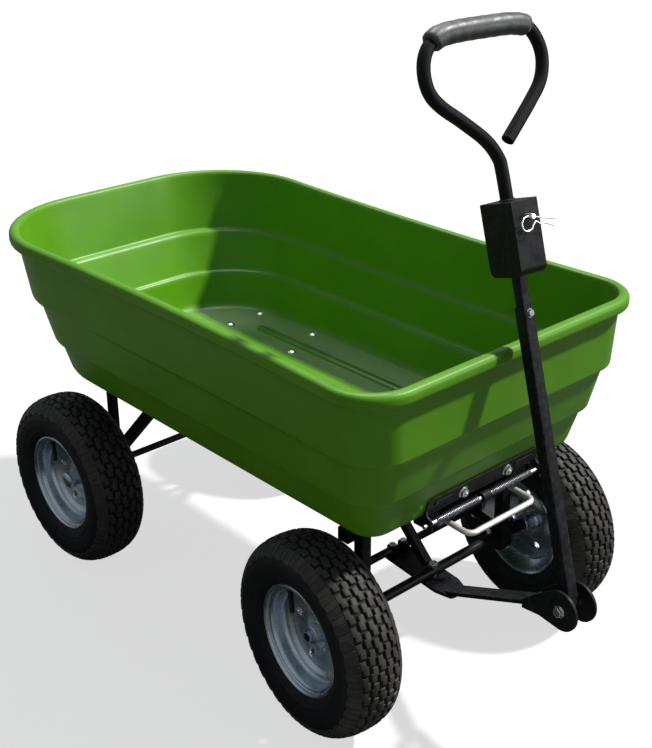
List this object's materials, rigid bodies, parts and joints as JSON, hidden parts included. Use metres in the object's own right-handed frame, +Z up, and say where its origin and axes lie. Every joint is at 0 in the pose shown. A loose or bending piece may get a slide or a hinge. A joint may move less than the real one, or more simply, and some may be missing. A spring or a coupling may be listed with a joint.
{
  "type": "tow behind garden cart",
  "caption": "four-wheeled garden cart with a stepped tipping tub, tubular steel frame, linked front steering, pneumatic tyres and a folding draw handle with tow box and D grip",
  "frame": {"origin": "on the ground halfway along and across the cart's overall box", "axes": "+X towards the draw handle, +Y to the left when facing +X, +Z up from the ground"},
  "size_m": [1.2506, 0.6402, 1.0823],
  "materials": {
    "tub_poly": "satin moulded polyethylene, green",
    "black_paint": "satin black powder coat",
    "tyre_rubber": "dusty black rubber with block tread",
    "zinc_steel": "zinc plated steel",
    "bright_steel": "bright plated steel",
    "grip_foam": "closed cell foam, matt black"
  },
  "bodies": {
    "frame": {"side_rail_r": "black_paint", "side_rail_l": "black_paint", "rear_cross_tube": "black_paint", "mid_cross_tube": "black_paint", "front_bolster": "black_paint", "rear_leg_r": "black_paint", "rear_leg_l": "black_paint", "rear_brace_r": "black_paint", "rear_brace_l": "black_paint", "rear_axle": "black_paint", "front_leg_r": "black_paint", "front_leg_l": "black_paint", "front_axle_beam": "black_paint", "centre_brace": "black_paint", "kingpin_r": "zinc_steel", "kingpin_l": "zinc_steel", "tongue_pivot_bolt": "bright_steel", "hinge_rod": "zinc_steel", "hub_cap_rear_r": "zinc_steel", "hub_cap_rear_l": "zinc_steel"},
    "tub_body": {"tub": "tub_poly", "floor_bolt_1": "bright_steel", "floor_bolt_2": "bright_steel", "floor_bolt_3": "bright_steel", "floor_bolt_4": "bright_steel", "latch_plate": "black_paint", "latch_bolt_1": "bright_steel", "latch_bolt_2": "bright_steel", "latch_rod": "zinc_steel", "latch_spring_r": "bright_steel", "latch_spring_l": "bright_steel", "latch_tube": "black_paint", "hinge_bracket_r": "black_paint", "hinge_bracket_l": "black_paint"},
    "latch": {"latch_bail": "bright_steel"},
    "tongue_body": {"tongue": "black_paint", "clevis_bolt": "bright_steel", "tie_bolt_inner_r": "bright_steel", "tie_bolt_inner_l": "bright_steel"},
    "tie_r": {"tie_rod_r": "black_paint"},
    "tie_l": {"tie_rod_l": "black_paint"},
    "knuckle_body_r": {"knuckle_r": "black_paint", "tie_bolt_outer_r": "bright_steel"},
    "knuckle_body_l": {"knuckle_l": "black_paint", "tie_bolt_outer_l": "bright_steel"},
    "handle": {"draw_tube": "black_paint", "handle_bolt": "bright_steel", "hitch_box": "black_paint", "upper_handle": "black_paint", "foam_grip": "grip_foam"},
    "pin": {"hitch_pin": "bright_steel"},
    "clip": {"spring_clip": "bright_steel"},
    "wheel_front_r": {"tyre_front_r": "tyre_rubber", "rim_front_r": "zinc_steel"},
    "wheel_front_l": {"tyre_front_l": "tyre_rubber", "rim_front_l": "zinc_steel"},
    "wheel_rear_r": {"tyre_rear_r": "tyre_rubber", "rim_rear_r": "zinc_steel"},
    "wheel_rear_l": {"tyre_rear_l": "tyre_rubber", "rim_rear_l": "zinc_steel"}
  },
  "joints": [
    {"name": "dump_hinge", "type": "hinge", "parent": "frame", "child": "tub_body", "pos_m": [-0.49029, 0, 0.3505], "axis": [0, -1, 0], "range_deg": [0, 85]},
    {"name": "latch_hinge", "type": "hinge", "parent": "tub_body", "child": "latch", "pos_m": [0.39271, 0, 0.357], "axis": [0, -1, 0], "range_deg": [0, 60]},
    {"name": "steer_hinge", "type": "hinge", "parent": "frame", "child": "tongue_body", "pos_m": [0.29071, 0, 0.165], "axis": [0, 0, 1], "range_deg": [-12.24, 23.76]},
    {"name": "knuckle_hinge_r", "type": "hinge", "parent": "frame", "child": "knuckle_body_r", "pos_m": [0.29071, -0.188, 0.165], "axis": [0, 0, 1], "range_deg": [-12.24, 23.76]},
    {"name": "tie_rod_hinge_r", "type": "hinge", "parent": "tongue_body", "child": "tie_r", "pos_m": [0.19698, -0.00261, 0.165], "axis": [0, 0, 1], "range_deg": [-23.76, 12.24]},
    {"name": "knuckle_hinge_l", "type": "hinge", "parent": "frame", "child": "knuckle_body_l", "pos_m": [0.29071, 0.188, 0.165], "axis": [0, 0, 1], "range_deg": [-12.24, 23.76]},
    {"name": "tie_rod_hinge_l", "type": "hinge", "parent": "tongue_body", "child": "tie_l", "pos_m": [0.19938, 0.02127, 0.165], "axis": [0, 0, 1], "range_deg": [-23.76, 12.24]},
    {"name": "front_wheel_spin_r", "type": "hinge", "parent": "knuckle_body_r", "child": "wheel_front_r", "pos_m": [0.28399, -0.25466, 0.165], "axis": [0.1004, 0.995, 0], "continuous": true},
    {"name": "rear_wheel_spin_r", "type": "hinge", "parent": "frame", "child": "wheel_rear_r", "pos_m": [-0.39429, -0.2636, 0.165], "axis": [0, 1, 0], "continuous": true},
    {"name": "front_wheel_spin_l", "type": "hinge", "parent": "knuckle_body_l", "child": "wheel_front_l", "pos_m": [0.29743, 0.25466, 0.165], "axis": [0.1004, 0.995, 0], "continuous": true},
    {"name": "rear_wheel_spin_l", "type": "hinge", "parent": "frame", "child": "wheel_rear_l", "pos_m": [-0.39429, 0.2636, 0.165], "axis": [0, 1, 0], "continuous": true},
    {"name": "handle_hinge", "type": "hinge", "parent": "tongue_body", "child": "handle", "pos_m": [0.59118, -0.03031, 0.267], "axis": [0.1004, 0.995, 0], "range_deg": [0, 100]},
    {"name": "hitch_pin_spin", "type": "hinge", "parent": "handle", "child": "pin", "pos_m": [0.41969, -0.01301, 0.8187], "axis": [0.9497, -0.0958, 0.2982], "continuous": true},
    {"name": "spring_clip_slide", "type": "slide", "parent": "pin", "child": "clip", "axis": [-0.1673, -0.96, 0.2244], "range_m": [0, 0.05]}
  ],
  "couplings": [
    {"joint": "knuckle_hinge_r", "follows": "steer_hinge", "ratio": 1},
    {"joint": "tie_rod_hinge_r", "follows": "steer_hinge", "ratio": -1},
    {"joint": "knuckle_hinge_l", "follows": "steer_hinge", "ratio": 1},
    {"joint": "tie_rod_hinge_l", "follows": "steer_hinge", "ratio": -1}
  ]
}
